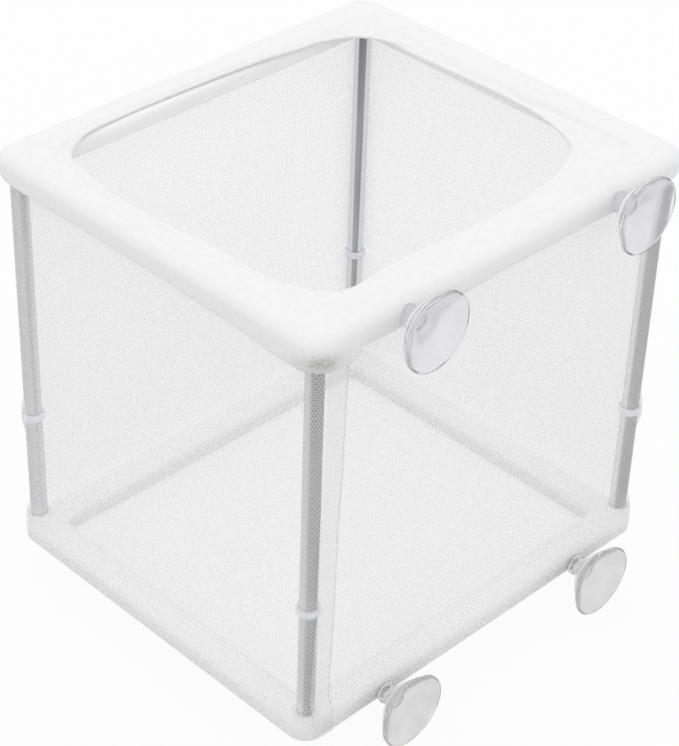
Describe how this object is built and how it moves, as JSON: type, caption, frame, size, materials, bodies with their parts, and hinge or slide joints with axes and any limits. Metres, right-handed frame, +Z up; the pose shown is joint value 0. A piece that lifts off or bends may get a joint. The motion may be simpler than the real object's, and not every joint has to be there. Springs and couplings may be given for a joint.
{
  "type": "fish breeding box",
  "caption": "Open-topped fish breeding box: fine net bag with soft white hem over moulded frames on sectional metal posts, held to the tank glass by clear suction cups.",
  "frame": {"origin": "middle of the underside of the net floor", "axes": "+Z up, -Y towards the tank glass (the suction cup side), +X along that side to the right seen from behind the cups"},
  "size_m": [0.1704, 0.164, 0.1785],
  "materials": {
    "white_plastic": "smooth moulded, satin",
    "steel_tube": "polished drawn tube",
    "joiner_plastic": "smooth moulded",
    "clear_vinyl": "clear soft vinyl, glossy",
    "net_mesh": "fine knitted mesh, openings about 1 mm",
    "hem_fabric": "soft brushed white fabric",
    "elastic": "covered elastic cord"
  },
  "bodies": {
    "box": {"top_frame": "white_plastic", "bottom_frame": "white_plastic", "upper_tube_front_left": "steel_tube", "upper_tube_front_right": "steel_tube", "upper_tube_back_left": "steel_tube", "upper_tube_back_right": "steel_tube", "lower_tube_front_left": "steel_tube", "lower_tube_front_right": "steel_tube", "lower_tube_back_left": "steel_tube", "lower_tube_back_right": "steel_tube", "joiner_front_left": "joiner_plastic", "joiner_front_right": "joiner_plastic", "joiner_back_left": "joiner_plastic", "joiner_back_right": "joiner_plastic", "net_floor": "net_mesh", "net_front": "net_mesh", "net_back": "net_mesh", "net_left": "net_mesh", "net_right": "net_mesh", "net_corners": "net_mesh", "net_seam_lap": "net_mesh", "hem_cover": "hem_fabric", "elastic_edging": "elastic"},
    "cup_upper_left": {"suction_cup_upper_left": "clear_vinyl"},
    "cup_upper_right": {"suction_cup_upper_right": "clear_vinyl"},
    "cup_lower_left": {"suction_cup_lower_left": "clear_vinyl"},
    "cup_lower_right": {"suction_cup_lower_right": "clear_vinyl"}
  },
  "joints": [
    {"name": "upper_left_cup_swivel", "type": "hinge", "parent": "box", "child": "cup_upper_left", "pos_m": [-0.0483, -0.0758, 0.1548], "axis": [0, -1, 0], "continuous": true},
    {"name": "upper_right_cup_swivel", "type": "hinge", "parent": "box", "child": "cup_upper_right", "pos_m": [0.0483, -0.0758, 0.1548], "axis": [0, -1, 0], "continuous": true},
    {"name": "lower_left_cup_swivel", "type": "hinge", "parent": "box", "child": "cup_lower_left", "pos_m": [-0.0483, -0.0758, 0.0033], "axis": [0, -1, 0], "continuous": true},
    {"name": "lower_right_cup_swivel", "type": "hinge", "parent": "box", "child": "cup_lower_right", "pos_m": [0.0483, -0.0758, 0.0033], "axis": [0, -1, 0], "continuous": true}
  ]
}
